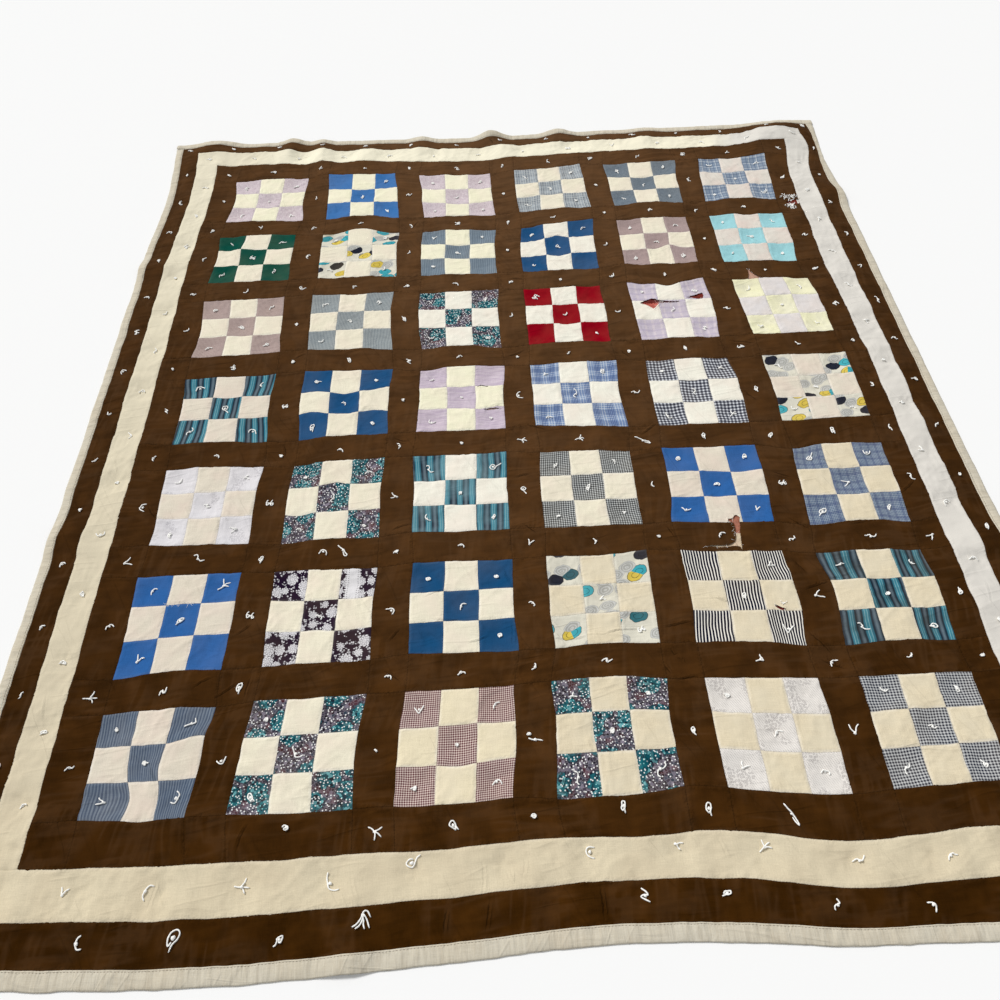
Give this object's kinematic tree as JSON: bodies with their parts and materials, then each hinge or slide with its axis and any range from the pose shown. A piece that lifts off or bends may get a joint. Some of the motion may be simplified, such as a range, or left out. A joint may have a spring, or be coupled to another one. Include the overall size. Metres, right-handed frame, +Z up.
{
  "type": "patchwork quilt",
  "caption": "Hand-tied nine-patch quilt with brown sashing, a cream band and a folded binding, laid flat with rippled edges.",
  "frame": {"origin": "on the floor, under the middle of the laid quilt", "axes": "+Z up off the floor, +Y towards the head end, +X across to the right as seen from the foot"},
  "size_m": [1.892, 2.1928, 0.0292],
  "materials": {
    "brown_sashing": "matt plain-weave cotton, pieced with printed cotton patches",
    "cream_muslin": "matt unbleached muslin",
    "brown_cotton": "matt plain-weave cotton",
    "binding_muslin": "matt unbleached muslin, folded to the front",
    "tie_string": "soft twisted cotton string"
  },
  "bodies": {
    "root": {"quilt_field": "brown_sashing", "cream_band_head": "cream_muslin", "cream_band_foot": "cream_muslin", "cream_band_left": "cream_muslin", "cream_band_right": "cream_muslin", "brown_border_head": "brown_cotton", "brown_border_foot": "brown_cotton", "brown_border_left": "brown_cotton", "brown_border_right": "brown_cotton", "binding_head": "binding_muslin", "binding_foot": "binding_muslin", "binding_left": "binding_muslin", "binding_right": "binding_muslin", "tie_r1_c1": "tie_string", "tie_r1_c2": "tie_string", "tie_r1_c3": "tie_string", "tie_r1_c4": "tie_string", "tie_r1_c5": "tie_string", "tie_r1_c6": "tie_string", "tie_r2_c1": "tie_string", "tie_r2_c2": "tie_string", "tie_r2_c3": "tie_string", "tie_r2_c4": "tie_string", "tie_r2_c5": "tie_string", "tie_r2_c6": "tie_string", "tie_r3_c1": "tie_string", "tie_r3_c2": "tie_string", "tie_r3_c3": "tie_string", "tie_r3_c4": "tie_string", "tie_r3_c5": "tie_string", "tie_r3_c6": "tie_string", "tie_r4_c1": "tie_string", "tie_r4_c2": "tie_string", "tie_r4_c3": "tie_string", "tie_r4_c4": "tie_string", "tie_r4_c5": "tie_string", "tie_r4_c6": "tie_string", "tie_r5_c1": "tie_string", "tie_r5_c2": "tie_string", "tie_r5_c3": "tie_string", "tie_r5_c4": "tie_string", "tie_r5_c5": "tie_string", "tie_r5_c6": "tie_string", "tie_r6_c1": "tie_string", "tie_r6_c2": "tie_string", "tie_r6_c3": "tie_string", "tie_r6_c4": "tie_string", "tie_r6_c5": "tie_string", "tie_r6_c6": "tie_string", "tie_r7_c1": "tie_string", "tie_r7_c2": "tie_string", "tie_r7_c3": "tie_string", "tie_r7_c4": "tie_string", "tie_r7_c5": "tie_string", "tie_r7_c6": "tie_string"}
  },
  "joints": []
}
